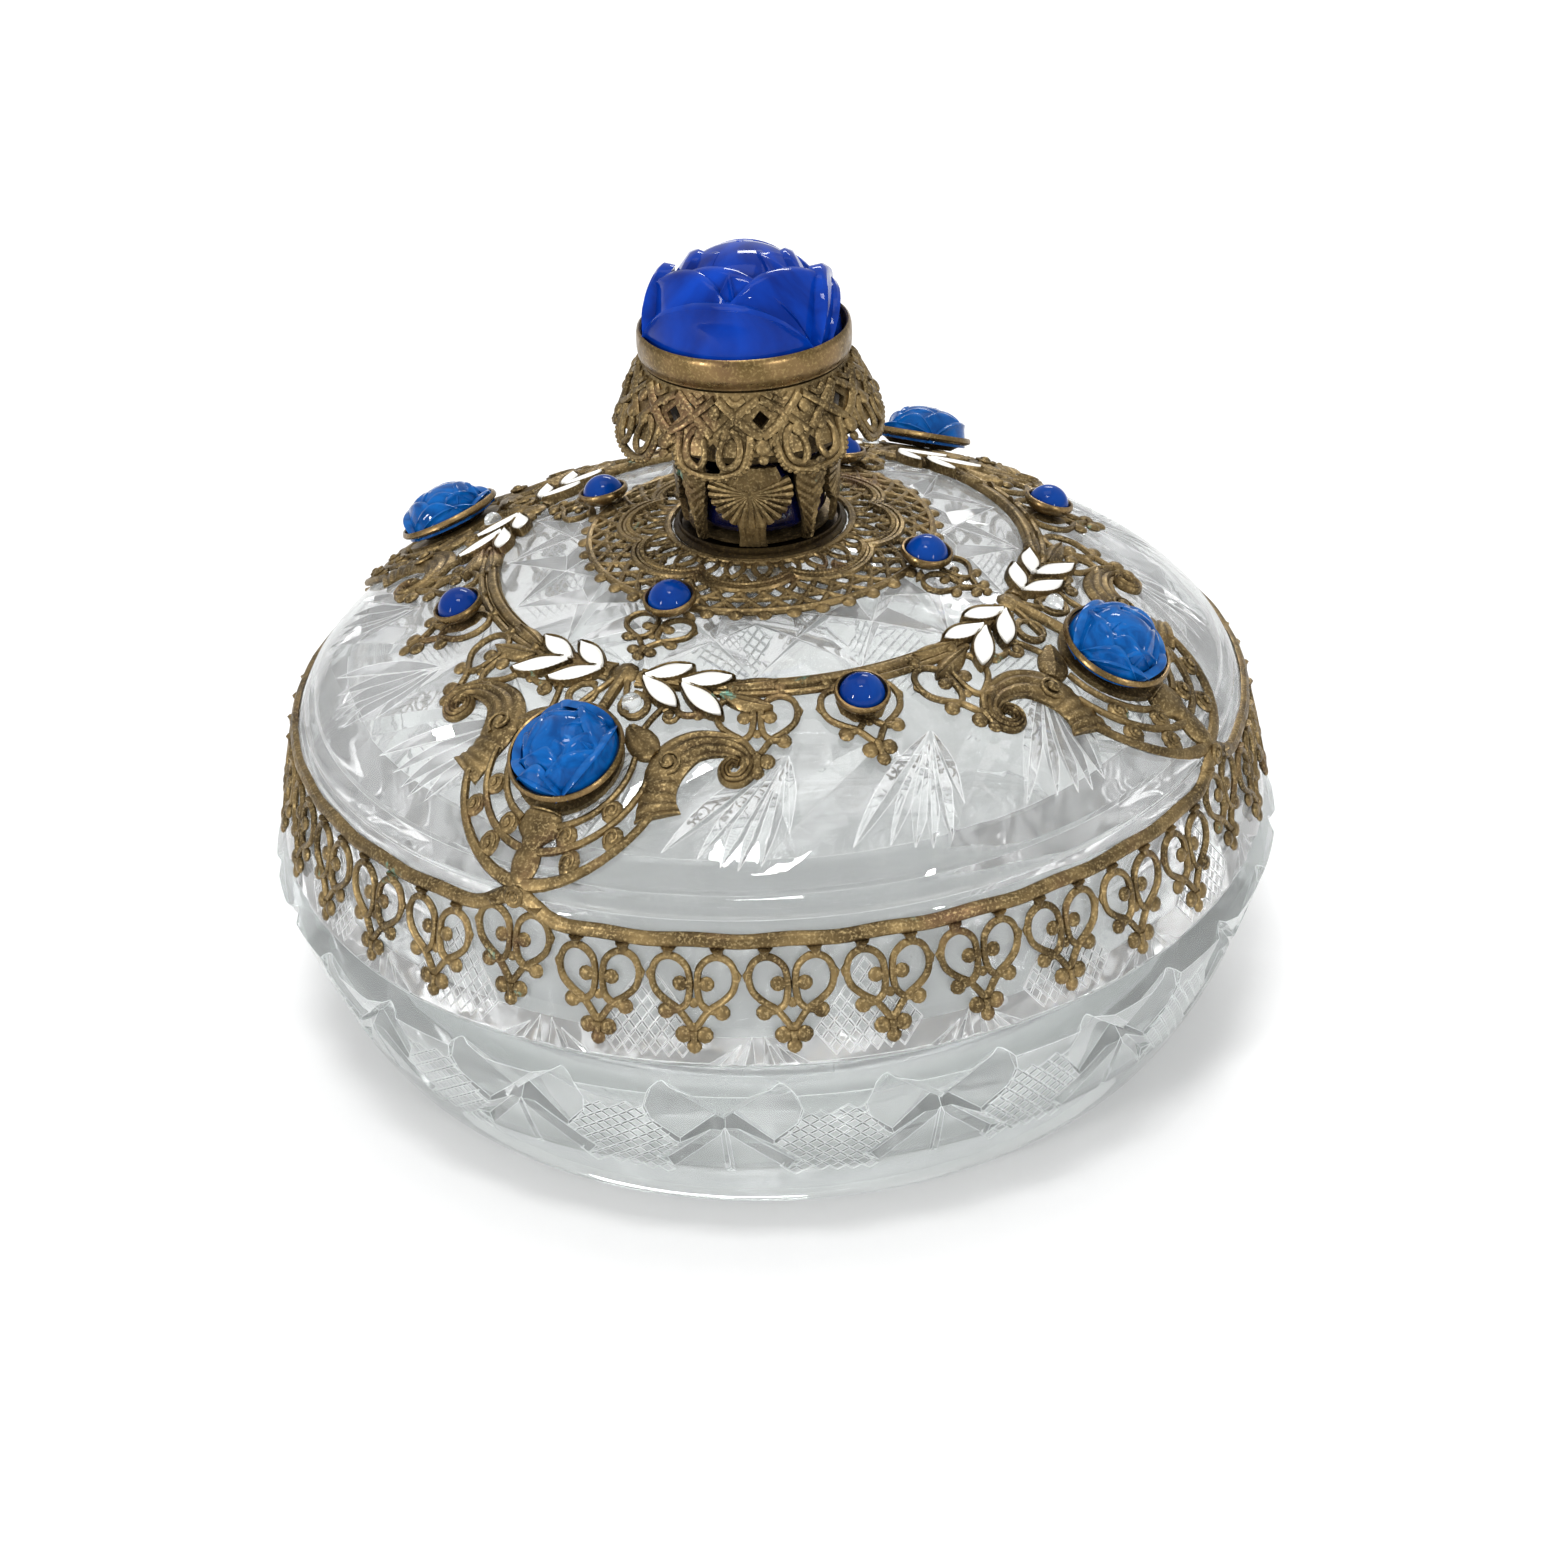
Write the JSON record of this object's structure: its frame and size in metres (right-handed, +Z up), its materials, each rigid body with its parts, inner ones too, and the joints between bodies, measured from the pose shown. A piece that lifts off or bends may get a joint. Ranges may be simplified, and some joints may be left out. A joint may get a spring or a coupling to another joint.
{
  "type": "cut-glass trinket box",
  "caption": "Round cut-glass box with a domed lift-off lid, a pierced brass overlay, carved blue stones and a tall knob.",
  "frame": {"origin": "middle of the bowl's flat base, on the surface that it stands on", "axes": "+Z up through the knob; -Y towards the picture's viewer"},
  "size_m": [0.132, 0.132, 0.1018],
  "materials": {
    "bowl_glass": "cut and polished",
    "lid_glass": "cut and polished",
    "brass": "aged, antiqued",
    "knob_stone": "pressed opaque glass, polished",
    "rose_stone": "pressed opaque glass, polished",
    "round_stone": "opaque glass, polished",
    "dark_bead": "opaque glass, polished",
    "crystal": "polished",
    "white_enamel": "enamel, slightly worn",
    "steel": "plain"
  },
  "bodies": {
    "bowl": {"bowl": "bowl_glass"},
    "lid": {"lid_glass": "lid_glass", "fringe": "brass", "enamel_leaves": "white_enamel", "crystals": "crystal", "rosette": "brass", "knob_collar": "brass", "leaf_cup": "brass", "knob_bead": "dark_bead", "knob_stem": "brass", "knob_skirt": "brass", "knob_bezel": "brass", "knob_rose": "knob_stone", "knob_bolt": "brass", "knob_washer": "steel", "knob_nut": "brass", "rose_mount_1": "brass", "rose_bezel_1": "brass", "rose_stone_1": "rose_stone", "strap_1": "brass", "heart_plate_1": "brass", "outer_cup_1": "brass", "outer_stone_1": "round_stone", "inner_arm_1": "brass", "inner_cup_1": "brass", "inner_stone_1": "round_stone", "rose_mount_2": "brass", "rose_bezel_2": "brass", "rose_stone_2": "rose_stone", "strap_2": "brass", "heart_plate_2": "brass", "outer_cup_2": "brass", "outer_stone_2": "round_stone", "inner_arm_2": "brass", "inner_cup_2": "brass", "inner_stone_2": "round_stone", "rose_mount_3": "brass", "rose_bezel_3": "brass", "rose_stone_3": "rose_stone", "strap_3": "brass", "heart_plate_3": "brass", "outer_cup_3": "brass", "outer_stone_3": "round_stone", "inner_arm_3": "brass", "inner_cup_3": "brass", "inner_stone_3": "round_stone", "rose_mount_4": "brass", "rose_bezel_4": "brass", "rose_stone_4": "rose_stone", "strap_4": "brass", "heart_plate_4": "brass", "outer_cup_4": "brass", "outer_stone_4": "round_stone", "inner_arm_4": "brass", "inner_cup_4": "brass", "inner_stone_4": "round_stone"}
  },
  "joints": [
    {"name": "lid_lift", "type": "slide", "parent": "bowl", "child": "lid", "axis": [0, 0, 1], "range_m": [0, 0.05]}
  ]
}
